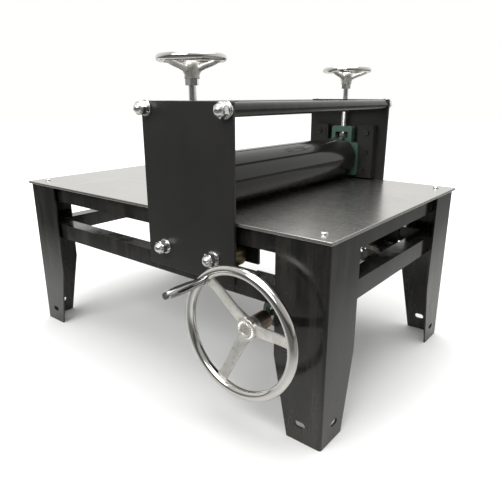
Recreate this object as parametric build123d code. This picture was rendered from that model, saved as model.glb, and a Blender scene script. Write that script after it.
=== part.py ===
from build123d import *
import math
import os

# A travelling-carriage etching press. Front is -Y, right is +X, and the floor is z = 0.
# The bed is fixed. The carriage carries the roller along it, pulled by a chain from the hand shaft.

# ---------- frame ----------
frame_length = 900.0          # over the legs, along X
frame_width = 590.0           # over the legs, along Y
bed_height = 390.0            # top of the bed above the floor
bed_thickness = 6.0
bed_overhang = 5.0            # beyond the legs on every side
bed_corner_radius = 3.0

leg_sheet = 4.0
leg_flange_top = 105.0        # flange width above the taper
leg_flange_foot = 73.0        # flange width at the floor
leg_taper_height = 158.0
leg_bend_radius = 5.0
foot_slot_length = 22.0
foot_slot_width = 12.0
foot_slot_height = 36.0       # slot centre above the floor
foot_slot_offset = 45.0       # slot centre from the leg's corner

rail_size = 38.0
rail_wall = 2.5
rail_inset = 12.0             # rails set back from the legs' outer faces
packing_length = 44.0
packing_margin = 3.0

bed_screw_diameter = 8.0
bed_screw_length = 20.0
bed_screw_head = 14.0
bed_screw_head_height = 4.4
bed_screw_socket = 5.0
bed_screw_clearance = 1.0
bed_screw_dome = 0.8          # edge rounding as a share of the head's height
screw_socket_depth = 0.6      # socket depth as a share of the head's height

# ---------- carriage ----------
carriage_x = 150.0            # middle of the carriage along the bed, as stored
carriage_width = 230.0        # side plates, along X
side_plate_thickness = 6.0
side_plate_corner_radius = 3.0
side_plate_below_axle = 43.7  # lower edge below the track axles
side_plate_above_bed = 205.0
side_clearance = 7.0          # from the legs' outer faces to the side plates

tie_spacing = 202.0           # between the top tie tubes, along X
tie_below_top = 13.5
tie_tube_diameter = 25.0
tie_tube_bore = 19.0
thread_diameter = 16.0
thread_hole = 17.0

axle_spacing = 130.0          # between the track roller axles, along X
axle_diameter = 20.0
track_roller_diameter = 58.0
track_roller_width = 36.0
track_gap = 0.3               # between the track rollers and the rail above them
track_lower_gap = 1.2         # and the rail below them
track_bearing_diameter = 47.0
track_bearing_width = 14.0
track_roller_core_gap = 3.0   # on the radius, between the roller's web and its axle
running_clearance = 0.05      # on the radius of every running fit
spacer_diameter = 28.0
end_gap = 0.5                 # beside a turning part

inner_plate_thickness = 6.0
inner_plate_clearance = 6.0   # from the rails' inner faces
inner_plate_below_axle = 19.7
inner_plate_top_gap = 12.0    # under the bed

washer_diameter = 30.0
washer_thickness = 3.0
spring_washer_diameter = 27.0
spring_washer_thickness = 3.5
spring_washer_cut = 1.5
spring_washer_slant = 30.0
nut_flats = 24.0
nut_hex_height = 12.0
nut_height = 21.0
nut_dome_radius = 10.5
thread_in_nut = 14.0

beam_width = 44.0             # screw beams, inwards from the side plates
beam_thickness = 16.0
beam_end_gap = 3.5            # from each tie tube

# ---------- upper roller and its take-up units ----------
roller_diameter = 108.0
roller_wall = 8.0
roller_end_gap = 46.0         # from the side plates' inner faces
roller_edge_chamfer = 1.0
roller_gap = 0.3              # above the bed, as stored
roller_end_disc = 12.0
roller_disc_inset = 2.0
journal_diameter = 30.0
journal_end_gap = 1.5         # from the side plates

takeup_inset = 18.0           # housing's middle plane from the side plate's inner face
takeup_width = 102.0
takeup_groove_span = 89.0
takeup_groove_width = 12.0
takeup_body = 28.0
takeup_below = 45.0
takeup_above = 40.0
takeup_boss_diameter = 78.0
takeup_boss_length = 34.0
takeup_top = 82.0             # above the roller's axis
takeup_neck_width = 60.0
takeup_neck_thickness = 22.0
takeup_slot_width = 37.0
takeup_slot_height = 16.0
takeup_slot_floor = 51.0      # above the roller's axis
takeup_corner_radius = 8.0
takeup_neck_corner_radius = 7.0
takeup_neck_edge_radius = 1.5
takeup_slot_corner_radius = 3.0
insert_diameter = 62.0
insert_race = 46.0
insert_outer_width = 18.0
insert_inner_inboard = 22.0
insert_inner_outboard = 16.0
insert_shoulder = 40.0

guide_width = 38.0
guide_depth = 24.0
guide_side_gap = 0.5
guide_tongue = 10.0
guide_bottom_gap = 4.0        # above the bed
guide_height = 136.0
guide_screw_diameter = 8.0
guide_screw_head = 13.0
guide_screw_head_height = 5.0
guide_screw_socket = 6.0
guide_screw_depth = 14.0
guide_screw_rows = (18.0, 68.0, 118.0)

# ---------- pressure screws ----------
screw_diameter = 14.0
screw_housing_gap = 0.5
screw_tip_gap = 0.3
screw_top_above_hub = 2.0
lock_nut_wall = 4.0           # from the thread to the flats
lock_nut_height = 11.0
slot_nut_wall = 3.5
slot_nut_height = 10.0
slot_nut_lift = 3.0
pressure_hub_lift = 37.0      # underside of the hub above the side plates
pressure_wheel = dict(diameter=125.0, rim=13.0, hub=31.0, hub_length=28.0, dish=34.6,
                      spoke_width=12.0, spoke_thickness=4.5, first_angle=20.0)

hub_edge_radius = 1.5
spoke_root_radius = 0.6       # where the spokes start, as a share of the hub's radius
spoke_root_height = 0.45      # and as a share of the hub's length
spoke_root_swell = 1.4        # thickness at the hub as a share of that at the rim

# ---------- hand shaft and chain drive ----------
hand_shaft_from_end = 144.0   # inwards from the legs' outer faces
hand_shaft_z = 208.0
hand_shaft_diameter = 20.0
hand_shaft_overreach = 5.0    # past the rear rail's inner face
drive_hub_gap = 9.0           # from the legs' outer faces to the back of the hub
drive_wheel = dict(diameter=250.0, rim=19.0, hub=42.0, hub_length=24.0, dish=45.0,
                   spoke_width=20.0, spoke_thickness=6.0, first_angle=8.0)
shaft_collar_diameter = 34.0
shaft_collar_length = 34.0
shaft_collar_edge_radius = 1.0

grip_radius = 110.0           # grip's axis from the wheel's axis
grip_angle = 128.0
grip_spindle_diameter = 8.0
grip_length = 84.0
grip_diameter = 17.0
grip_end_diameter = 12.0
grip_waist_place = 0.12       # places along the grip as shares of its length
grip_fullest_place = 0.65
grip_shoulder_place = 0.92
grip_waist_swell = 0.8
grip_shoulder_drop = 1.2
grip_collar_diameter = 14.0
grip_collar_length = 4.0
grip_head_length = 3.0

block_width = 76.0            # hand shaft bearing blocks, along X
block_depth = 40.0
block_base = 12.0
block_axis = 30.2             # shaft axis below the mounting face
block_ring = 60.0
block_ring_depth = 32.0
block_neck = 52.0
block_bore = 47.0
block_race = 36.0
block_outer_width = 16.0
block_inner_width = 31.0
block_inner_wall = 4.5        # inner ring's shoulder around the shaft
block_corner_radius = 6.0
bracket_thickness = 5.0
bracket_depth = 50.0
bracket_width = 80.0
bracket_bolt = 10.0
bracket_bolt_spacing = 52.0
bracket_bolt_head = 17.0
bracket_bolt_head_height = 6.5
bracket_bolt_depth = 12.0

chain_from_rail = 70.0        # chain's middle plane from the rear rail's inner face
chain_pitch = 12.7
chain_roller = 8.5
chain_plate_height = 11.8
chain_plate_thickness = 1.6
chain_inner_width = 8.8
chain_pin_reach = 17.0
chain_bare_pitches = 2        # beside each sprocket, where the pins are left out
sprocket_teeth = 16
sprocket_width = 7.2
sprocket_tip_radius = 35.8
tooth_clearance = 0.2         # on the radius of the chain's rollers
sprocket_hub_diameter = 44.0
sprocket_hub_length = 18.0
idler_from_end = 95.0         # inwards from the legs' outer faces
idler_pin_diameter = 16.0
idler_bracket_thickness = 6.0
idler_bracket_width = 60.0
idler_bracket_below = 26.0    # below the idler's axis
idler_head_thickness = 4.0
clamp_width = 40.0
clamp_thickness = 6.0
clamp_gap = 3.5               # above the chain
clamp_cheek = 4.0
clamp_side_gap = 1.0
clamp_reach_below = 4.0
clamp_lap = 43.0              # over the inner plate

# ---------- places worked out from the sizes above ----------
half_length = frame_length / 2
half_width = frame_width / 2
bed_bottom = bed_height - bed_thickness
rail_outer_x = half_length - rail_inset
rail_outer_y = half_width - rail_inset
rail_inner_x = rail_outer_x - rail_size
rail_inner_y = rail_outer_y - rail_size
rail_middle_x = rail_outer_x - rail_size / 2
rail_middle_y = rail_outer_y - rail_size / 2
upper_rail_bottom = bed_bottom - rail_size
lower_rail_top = upper_rail_bottom - track_gap - track_roller_diameter - track_lower_gap
lower_rail_bottom = lower_rail_top - rail_size

side_inner_y = half_width + side_clearance
side_outer_y = side_inner_y + side_plate_thickness
axle_z = upper_rail_bottom - track_gap - track_roller_diameter / 2
side_plate_bottom = axle_z - side_plate_below_axle
side_plate_top = bed_height + side_plate_above_bed
tie_x = (carriage_x - tie_spacing / 2, carriage_x + tie_spacing / 2)
tie_z = side_plate_top - tie_below_top
axle_x = (carriage_x - axle_spacing / 2, carriage_x + axle_spacing / 2)
inner_plate_outer_y = rail_inner_y - inner_plate_clearance
inner_plate_inner_y = inner_plate_outer_y - inner_plate_thickness
inner_plate_bottom = axle_z - inner_plate_below_axle
inner_plate_top = bed_bottom - inner_plate_top_gap
clamp_top = inner_plate_bottom + clamp_lap
plate_x = (carriage_x - carriage_width / 2, carriage_x + carriage_width / 2)

roller_half_length = side_inner_y - roller_end_gap
roller_z = bed_height + roller_gap + roller_diameter / 2
takeup_y = side_inner_y - takeup_inset
slot_floor_z = roller_z + takeup_slot_floor
screw_bottom = slot_floor_z + screw_tip_gap
pressure_hub_bottom = side_plate_top + pressure_hub_lift
screw_top = pressure_hub_bottom + pressure_wheel["hub_length"] + screw_top_above_hub
beam_bottom = side_plate_top - beam_thickness
beam_half = tie_spacing / 2 - tie_tube_diameter / 2 - beam_end_gap

hand_shaft_x = half_length - hand_shaft_from_end
hand_shaft_back = rail_inner_y + hand_shaft_overreach
drive_hub_rear = -(half_width + drive_hub_gap)
idler_x = idler_from_end - half_length
chain_y = rail_inner_y - chain_from_rail
bracket_face = hand_shaft_z + block_axis
block_y = rail_inner_y - bracket_depth / 2
drive_hub_front = drive_hub_rear - drive_wheel["hub_length"]
drive_rim_y = drive_hub_rear - drive_wheel["dish"]
pitch_radius = chain_pitch / (2 * math.sin(math.pi / sprocket_teeth))
chain_run_z = hand_shaft_z + pitch_radius

sides = (("front", -1), ("back", 1))
ends = (("left", -1), ("right", 1))
parts = {}


# ---------- plain shapes ----------
def block(x, y, z):
    """A box between the two values given for each direction."""
    centre = ((x[0] + x[1]) / 2, (y[0] + y[1]) / 2, (z[0] + z[1]) / 2)
    return Pos(*centre) * Box(x[1] - x[0], y[1] - y[0], z[1] - z[0])


def span(side, near, far):
    """The pair of Y values from near to far on one side of the middle, low value first."""
    return tuple(sorted((side * near, side * far)))


def bar_y(x, z, diameter, y):
    return Pos(x, (y[0] + y[1]) / 2, z) * Rot(90, 0, 0) * Cylinder(diameter / 2, y[1] - y[0])


def bar_z(x, y, diameter, z):
    return Pos(x, y, (z[0] + z[1]) / 2) * Cylinder(diameter / 2, z[1] - z[0])


def ring_y(x, z, diameter, bore, y):
    return bar_y(x, z, diameter, y) - bar_y(x, z, bore, y)


def hexagon(flats, height):
    return extrude(RegularPolygon(flats / 2, 6, major_radius=False), amount=height)


def facing(side, x, y, z):
    """Turns a shape built upwards along Z so that it points outwards along Y from the place given."""
    return Pos(x, y, z) * Rot(-90 * side, 0, 0)


def group(solids):
    return Compound(children=[solid.solid() for solid in solids])


# ---------- frame ----------
def leg_flange():
    """One flange with its outer corner on the Z axis, reaching along -X, its thickness along -Y."""
    outline = [
        (0, 0),
        (0, bed_bottom),
        (-leg_flange_top, bed_bottom),
        (-leg_flange_top, leg_taper_height),
        (-leg_flange_foot, 0),
    ]
    sheet = extrude(make_face(Polyline(*outline, close=True)), amount=leg_sheet)
    slot = Pos(-foot_slot_offset, foot_slot_height, 0) * SlotOverall(foot_slot_length, foot_slot_width)
    return Rot(90, 0, 0) * (sheet - extrude(slot, amount=leg_sheet))


def leg():
    """An angle of two flanges that mirror each other over the corner's diagonal."""
    flange = leg_flange()
    diagonal = Plane(origin=(0, 0, 0), z_dir=(1, -1, 0))
    angle = flange + mirror(flange, about=diagonal)
    upright_edges = angle.edges().filter_by(Axis.Z)
    corner = upright_edges.sort_by(lambda edge: edge.center().X + edge.center().Y)[-1]
    return Pos(half_length, half_width, 0) * fillet(corner, leg_bend_radius)


def add_legs():
    back_right = leg()
    back_left = mirror(back_right, about=Plane.YZ)
    parts["leg_back_right"] = back_right
    parts["leg_back_left"] = back_left
    parts["leg_front_right"] = mirror(back_right, about=Plane.XZ)
    parts["leg_front_left"] = mirror(back_left, about=Plane.XZ)


def long_rail(side, bottom):
    """A box rail along X, open at its ends."""
    y = span(side, rail_inner_y, rail_outer_y)
    z = (bottom, bottom + rail_size)
    core_y = (y[0] + rail_wall, y[1] - rail_wall)
    core_z = (z[0] + rail_wall, z[1] - rail_wall)
    x = (-rail_outer_x, rail_outer_x)
    return block(x, y, z) - block(x, core_y, core_z)


def end_rail(end, bottom):
    """A box rail along Y, between the long rails."""
    x = span(end, rail_inner_x, rail_outer_x)
    z = (bottom, bottom + rail_size)
    core_x = (x[0] + rail_wall, x[1] - rail_wall)
    core_z = (z[0] + rail_wall, z[1] - rail_wall)
    y = (-rail_inner_y, rail_inner_y)
    return block(x, y, z) - block(core_x, y, core_z)


def bed_screw_places():
    return [(i * rail_middle_x, j * rail_middle_y) for i in (-1, 1) for j in (-1, 1)]


def add_rails():
    upper_rails = []
    for _, side in sides:
        rail = long_rail(side, upper_rail_bottom)
        for x, y in bed_screw_places():
            rail = rail - bar_z(x, y, bed_screw_diameter, (bed_bottom - rail_wall, bed_bottom))
        upper_rails.append(rail)
    parts["upper_long_rails"] = group(upper_rails)
    parts["lower_long_rails"] = group([long_rail(side, lower_rail_bottom) for _, side in sides])
    parts["upper_end_rails"] = group([end_rail(end, upper_rail_bottom) for _, end in ends])
    parts["lower_end_rails"] = group([end_rail(end, lower_rail_bottom) for _, end in ends])


def add_packing():
    """Pads that fill the space between the rails and the legs' inner faces, where they are joined."""
    pads = []
    leg_inner_x = half_length - leg_sheet
    leg_inner_y = half_width - leg_sheet
    for bottom in (upper_rail_bottom, lower_rail_bottom):
        z = (bottom + packing_margin, bottom + rail_size - packing_margin)
        for i in (-1, 1):
            for j in (-1, 1):
                along_x = span(i, rail_outer_x - packing_length, rail_outer_x)
                pads.append(block(along_x, span(j, rail_outer_y, leg_inner_y), z))
                along_y = span(j, rail_inner_y - packing_length, rail_inner_y)
                pads.append(block(span(i, rail_outer_x, leg_inner_x), along_y, z))
    parts["leg_packing_plates"] = group(pads)


def add_bed():
    half_x = half_length + bed_overhang
    half_y = half_width + bed_overhang
    bed = block((-half_x, half_x), (-half_y, half_y), (bed_bottom, bed_height))
    bed = fillet(bed.edges().filter_by(Axis.Z), bed_corner_radius)
    hole = bed_screw_diameter + bed_screw_clearance
    screws = []
    for x, y in bed_screw_places():
        bed = bed - bar_z(x, y, hole, (bed_bottom, bed_height))
        head = bar_z(x, y, bed_screw_head, (bed_height, bed_height + bed_screw_head_height))
        rim = head.edges().sort_by(Axis.Z)[-1]
        head = fillet(rim, bed_screw_head_height * bed_screw_dome)
        socket_depth = bed_screw_head_height * screw_socket_depth
        socket_floor = bed_height + bed_screw_head_height - socket_depth
        head = head - Pos(x, y, socket_floor) * hexagon(bed_screw_socket, socket_depth)
        shank = bar_z(x, y, bed_screw_diameter, (bed_height - bed_screw_length, bed_height))
        screws.append(head + shank)
    parts["bed_plate"] = bed
    parts["bed_screws"] = group(screws)


# ---------- carriage ----------
def add_side_plates():
    inner_plates = []
    for name, side in sides:
        plate = block(plate_x, span(side, side_inner_y, side_outer_y), (side_plate_bottom, side_plate_top))
        plate = fillet(plate.edges().filter_by(Axis.Y), side_plate_corner_radius)
        for x in tie_x:
            plate = plate - bar_y(x, tie_z, thread_hole, span(side, side_inner_y, side_outer_y))
        for x in axle_x:
            plate = plate - bar_y(x, axle_z, thread_hole, span(side, side_inner_y, side_outer_y))
        parts[f"side_plate_{name}"] = plate
        y = span(side, inner_plate_inner_y, inner_plate_outer_y)
        inner = block(plate_x, y, (inner_plate_bottom, inner_plate_top))
        for x in axle_x:
            inner = inner - bar_y(x, axle_z, axle_diameter, y)
        inner_plates.append(inner)
    parts["inner_plates"] = group(inner_plates)


def rod_end():
    return side_outer_y + washer_thickness + spring_washer_thickness + thread_in_nut


def track_axle(x):
    """A round axle between the side plates, turned down and threaded at its ends."""
    axle = bar_y(x, axle_z, axle_diameter, (-side_inner_y, side_inner_y))
    return axle + bar_y(x, axle_z, thread_diameter, (-rod_end(), rod_end()))


def add_ties():
    y = (-side_inner_y, side_inner_y)
    parts["tie_tubes"] = group([ring_y(x, tie_z, tie_tube_diameter, tie_tube_bore, y) for x in tie_x])
    rods = [bar_y(x, tie_z, thread_diameter, (-rod_end(), rod_end())) for x in tie_x]
    parts["tie_rods"] = group(rods)
    parts["track_axles"] = group([track_axle(x) for x in axle_x])


def split_ring(side, x, z):
    """A spring washer: a ring with a slanted cut."""
    start = side_outer_y + washer_thickness
    y = span(side, start, start + spring_washer_thickness)
    ring = ring_y(x, z, spring_washer_diameter, thread_diameter, y)
    place = Pos(x, side * (start + spring_washer_thickness / 2), z + spring_washer_diameter / 2)
    cut = Box(spring_washer_cut, spring_washer_thickness * 3, spring_washer_diameter / 2)
    return ring - place * Rot(0, 0, spring_washer_slant) * cut


def acorn_nut(side, x, z):
    """A hexagon with a domed, closed end."""
    hexagonal = hexagon(nut_flats, nut_hex_height)
    straight = nut_height - nut_dome_radius
    dome = Pos(0, 0, straight / 2) * Cylinder(nut_dome_radius, straight)
    dome = dome + Pos(0, 0, straight) * Sphere(nut_dome_radius)
    bore = Pos(0, 0, thread_in_nut / 2) * Cylinder(thread_diameter / 2, thread_in_nut)
    start = side_outer_y + washer_thickness + spring_washer_thickness
    return facing(side, x, side * start, z) * (hexagonal + dome - bore)


def add_tie_fasteners():
    washers, springs, nuts = [], [], []
    places = [(x, tie_z) for x in tie_x] + [(x, axle_z) for x in axle_x]
    for _, side in sides:
        for x, z in places:
            y = span(side, side_outer_y, side_outer_y + washer_thickness)
            washers.append(ring_y(x, z, washer_diameter, thread_diameter, y))
            springs.append(split_ring(side, x, z))
            nuts.append(acorn_nut(side, x, z))
    parts["flat_washers"] = group(washers)
    parts["spring_washers"] = group(springs)
    parts["acorn_nuts"] = group(nuts)


def add_track_rollers():
    inner_face = rail_middle_y - track_roller_width / 2
    outer_face = rail_middle_y + track_roller_width / 2
    roller_bore = axle_diameter + 2 * track_roller_core_gap
    race_bore = axle_diameter + 2 * running_clearance
    spacers = []
    for side_name, side in sides:
        for (end_name, _), x in zip(ends, axle_x):
            roller = ring_y(x, axle_z, track_roller_diameter, roller_bore, span(side, inner_face, outer_face))
            bearings = []
            for near in (inner_face, outer_face - track_bearing_width):
                y = span(side, near, near + track_bearing_width)
                roller = roller - bar_y(x, axle_z, track_bearing_diameter, y)
                bearings.append(ring_y(x, axle_z, track_bearing_diameter, race_bore, y))
            parts[f"track_roller_{side_name}_{end_name}"] = roller
            parts[f"track_bearings_{side_name}_{end_name}"] = group(bearings)
            outer = span(side, outer_face + end_gap, side_inner_y)
            inner = span(side, inner_plate_outer_y, inner_face - end_gap)
            spacers.append(ring_y(x, axle_z, spacer_diameter, axle_diameter, outer))
            spacers.append(ring_y(x, axle_z, spacer_diameter, axle_diameter, inner))
    middle = (-inner_plate_inner_y, inner_plate_inner_y)
    for x in axle_x:
        spacers.append(ring_y(x, axle_z, spacer_diameter, axle_diameter, middle))
    parts["axle_spacers"] = group(spacers)


def add_screw_beams():
    x = (carriage_x - beam_half, carriage_x + beam_half)
    z = (beam_bottom, side_plate_top)
    hole = screw_diameter + 2 * running_clearance
    beams = []
    for _, side in sides:
        beam = block(x, span(side, side_inner_y - beam_width, side_inner_y), z)
        beams.append(beam - bar_z(carriage_x, side * takeup_y, hole, z))
    parts["screw_beams"] = group(beams)


def guide_bar(side, end):
    """A bar on the side plate, with a tongue that runs in the take-up housing's groove."""
    face = takeup_width / 2 + guide_side_gap
    tongue = takeup_groove_span / 2 + guide_side_gap
    x_body = tuple(sorted((carriage_x + end * face, carriage_x + end * (face + guide_width))))
    x_tongue = tuple(sorted((carriage_x + end * tongue, carriage_x + end * (face + guide_width / 2))))
    bottom = bed_height + guide_bottom_gap
    z = (bottom, bottom + guide_height)
    body = block(x_body, span(side, side_inner_y - guide_depth, side_inner_y), z)
    return body + block(x_tongue, span(side, takeup_y - guide_tongue / 2, takeup_y + guide_tongue / 2), z)


def guide_screw(side, end, height):
    """A socket screw with its head inside the carriage."""
    x = carriage_x + end * (takeup_width / 2 + guide_side_gap + guide_width / 2)
    z = bed_height + guide_bottom_gap + height
    face = side_inner_y - guide_depth
    head = bar_y(x, z, guide_screw_head, span(side, face - guide_screw_head_height, face))
    shank = bar_y(x, z, guide_screw_diameter, span(side, face, face + guide_screw_depth))
    socket_depth = guide_screw_head_height * screw_socket_depth
    start = face - guide_screw_head_height
    socket = facing(side, x, side * start, z) * hexagon(guide_screw_socket, socket_depth)
    return head + shank - socket


def add_guides():
    bars = []
    screws = []
    for _, side in sides:
        for _, end in ends:
            bar = guide_bar(side, end)
            for height in guide_screw_rows:
                screw = guide_screw(side, end, height)
                bar = bar - screw
                screws.append(screw)
            bars.append(bar)
    parts["guide_bars"] = group(bars)
    parts["guide_screws"] = group(screws)


# ---------- take-up units and upper roller ----------
def takeup_housing():
    """A cast bearing housing grooved on both edges, with a slotted neck on top for the pressure screw."""
    half = takeup_width / 2
    body = block((-half, half), (-takeup_body / 2, takeup_body / 2), (-takeup_below, takeup_above))
    body = fillet(body.edges().filter_by(Axis.Y), takeup_corner_radius)
    boss = bar_y(0, 0, takeup_boss_diameter, (-takeup_boss_length / 2, takeup_boss_length / 2))
    neck_half = takeup_neck_width / 2
    neck_y = (-takeup_neck_thickness / 2, takeup_neck_thickness / 2)
    neck = block((-neck_half, neck_half), neck_y, (0, takeup_top))
    neck = fillet(neck.edges().filter_by(Axis.Y).sort_by(Axis.Z)[-2:], takeup_neck_corner_radius)
    neck = fillet(neck.faces().sort_by(Axis.Z)[-1].edges(), takeup_neck_edge_radius)
    housing = body + boss + neck
    housing = housing - bar_y(0, 0, insert_diameter, (-takeup_boss_length, takeup_boss_length))
    groove_y = (-takeup_groove_width / 2, takeup_groove_width / 2)
    for end in (-1, 1):
        groove_x = tuple(sorted((end * takeup_groove_span / 2, end * (half + 1))))
        housing = housing - block(groove_x, groove_y, (-takeup_below - 1, takeup_above + 1))
    slot_z = (takeup_slot_floor, takeup_slot_floor + takeup_slot_height)
    slot = block((-takeup_slot_width / 2, takeup_slot_width / 2), (-takeup_body, takeup_body), slot_z)
    slot = fillet(slot.edges().filter_by(Axis.Y), takeup_slot_corner_radius)
    hole = screw_diameter + 2 * screw_housing_gap
    return housing - slot - bar_z(0, 0, hole, (takeup_slot_floor + takeup_slot_height / 2, takeup_top + 1))


def inner_ring(side):
    """The inner ring with its ball track, longer on the inboard side, with two grub screw holes."""
    y_track = span(side, takeup_y - insert_outer_width / 2, takeup_y + insert_outer_width / 2)
    y_ring = span(side, takeup_y - insert_inner_inboard, takeup_y + insert_inner_outboard)
    track = bar_y(carriage_x, roller_z, insert_race - 2 * running_clearance, y_track)
    return track + bar_y(carriage_x, roller_z, insert_shoulder, y_ring) - bar_y(
        carriage_x, roller_z, journal_diameter, y_ring)


def add_takeups():
    housing = takeup_housing()
    housings = []
    races = []
    for _, side in sides:
        housings.append(Pos(carriage_x, side * takeup_y, roller_z) * housing)
        y = span(side, takeup_y - insert_outer_width / 2, takeup_y + insert_outer_width / 2)
        races.append(ring_y(carriage_x, roller_z, insert_diameter, insert_race, y))
    parts["takeup_housings"] = group(housings)
    parts["roller_bearing_outer_rings"] = group(races)


def add_upper_roller():
    half = roller_half_length
    bore = roller_diameter - 2 * roller_wall
    tube = ring_y(carriage_x, roller_z, roller_diameter, bore, (-half, half))
    outer_edges = tube.edges().filter_by(GeomType.CIRCLE).group_by(SortBy.RADIUS)[-1]
    tube = chamfer(outer_edges, roller_edge_chamfer)
    parts["upper_roller_tube"] = tube
    discs = []
    for _, side in sides:
        y = span(side, half - roller_disc_inset - roller_end_disc, half - roller_disc_inset)
        discs.append(ring_y(carriage_x, roller_z, bore, journal_diameter, y))
    parts["upper_roller_end_discs"] = group(discs)
    reach = side_inner_y - journal_end_gap
    parts["upper_roller_shaft"] = bar_y(carriage_x, roller_z, journal_diameter, (-reach, reach))
    parts["roller_bearing_inner_rings"] = group([inner_ring(side) for _, side in sides])


# ---------- hand wheels and pressure screws ----------
def hand_wheel(size, bore):
    """A dished wheel on the Z axis: hub base at z = 0, rim centre line at the dish height."""
    rim_radius = size["diameter"] / 2 - size["rim"] / 2
    hub_radius = size["hub"] / 2
    wheel = Pos(0, 0, size["dish"]) * Torus(rim_radius, size["rim"] / 2)
    hub = Pos(0, 0, size["hub_length"] / 2) * Cylinder(hub_radius, size["hub_length"])
    wheel = wheel + fillet(hub.edges().filter_by(GeomType.CIRCLE), hub_edge_radius)
    thickness = size["spoke_thickness"]
    root = hub_radius * spoke_root_radius
    low = size["hub_length"] * spoke_root_height
    outline = [
        (root, low),
        (rim_radius, size["dish"] - thickness / 2),
        (rim_radius, size["dish"] + thickness / 2),
        (root, low + thickness * spoke_root_swell),
    ]
    profile = make_face(Polyline(*outline, close=True))
    spoke = Rot(90, 0, 0) * extrude(profile, amount=size["spoke_width"] / 2, both=True)
    for turn in range(3):
        wheel = wheel + Rot(0, 0, size["first_angle"] + 120 * turn) * spoke
    return wheel - Pos(0, 0, size["dish"] / 2) * Cylinder(bore / 2, size["dish"] * 2)


def add_pressure_screws():
    wheel = hand_wheel(pressure_wheel, screw_diameter)
    bore = Cylinder(screw_diameter / 2, lock_nut_height * 3)
    for name, side in sides:
        y = side * takeup_y
        parts[f"pressure_screw_{name}"] = bar_z(carriage_x, y, screw_diameter, (screw_bottom, screw_top))
        parts[f"pressure_hand_wheel_{name}"] = Pos(carriage_x, y, pressure_hub_bottom) * wheel
        lock_nut = hexagon(screw_diameter + 2 * lock_nut_wall, lock_nut_height) - bore
        slot_nut = hexagon(screw_diameter + 2 * slot_nut_wall, slot_nut_height) - bore
        nuts = [
            Pos(carriage_x, y, pressure_hub_bottom - lock_nut_height) * lock_nut,
            Pos(carriage_x, y, slot_floor_z + slot_nut_lift) * slot_nut,
        ]
        parts[f"screw_nuts_{name}"] = group(nuts)


# ---------- hand shaft ----------
def add_hand_wheel():
    wheel = hand_wheel(drive_wheel, hand_shaft_diameter)
    place = Pos(hand_shaft_x, drive_hub_rear, hand_shaft_z) * Rot(90, 0, 0)
    parts["drive_hand_wheel"] = place * wheel
    y = (drive_hub_front, hand_shaft_back)
    parts["hand_shaft"] = bar_y(hand_shaft_x, hand_shaft_z, hand_shaft_diameter, y)
    y = (drive_hub_rear, drive_hub_rear + shaft_collar_length)
    collar = ring_y(hand_shaft_x, hand_shaft_z, shaft_collar_diameter, hand_shaft_diameter, y)
    collar_edges = collar.edges().filter_by(GeomType.CIRCLE)
    parts["hand_shaft_collar"] = fillet(collar_edges, shaft_collar_edge_radius)


def add_crank_grip():
    x = hand_shaft_x + grip_radius * math.cos(math.radians(grip_angle))
    z = hand_shaft_z + grip_radius * math.sin(math.radians(grip_angle))
    rim_face = drive_rim_y - drive_wheel["rim"] / 2
    collar_end = rim_face - grip_collar_length
    grip_start = collar_end - end_gap
    grip_end = grip_start - grip_length
    head_end = grip_end - end_gap - grip_head_length
    spindle = bar_y(x, z, grip_spindle_diameter, (head_end, drive_rim_y))
    spindle = spindle + bar_y(x, z, grip_collar_diameter, (collar_end, drive_rim_y))
    spindle = spindle + bar_y(x, z, grip_end_diameter, (head_end, grip_end - end_gap))
    parts["drive_hand_wheel"] = parts["drive_hand_wheel"] - spindle
    parts["crank_grip_spindle"] = spindle
    bore = grip_spindle_diameter / 2 + running_clearance
    rise = [
        (bore, 0),
        (grip_end_diameter / 2, 0),
        (grip_end_diameter / 2 + grip_waist_swell, grip_length * grip_waist_place),
        (grip_diameter / 2, grip_length * grip_fullest_place),
        (grip_diameter / 2 - grip_shoulder_drop, grip_length * grip_shoulder_place),
        (grip_end_diameter / 2, grip_length),
        (bore, grip_length),
    ]
    outer = Spline(*rise[1:6])
    profile = outer + Polyline(rise[5], rise[6], rise[0], rise[1])
    sleeve = revolve(make_face(profile), axis=Axis.Y)
    parts["crank_grip"] = Pos(x, grip_start, z) * Rot(180, 0, 0) * sleeve


def bearing_block():
    """A cast block with a flat base on top and a round bearing seat below it."""
    half = block_width / 2
    depth = (-block_depth / 2, block_depth / 2)
    base = block((-half, half), depth, (block_axis - block_base, block_axis))
    base = fillet(base.edges().filter_by(Axis.Z), block_corner_radius)
    ring_y_span = (-block_ring_depth / 2, block_ring_depth / 2)
    ring = bar_y(0, 0, block_ring, ring_y_span)
    neck = block((-block_neck / 2, block_neck / 2), ring_y_span, (0, block_axis - block_base / 2))
    return base + ring + neck - bar_y(0, 0, block_bore, depth)


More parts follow.
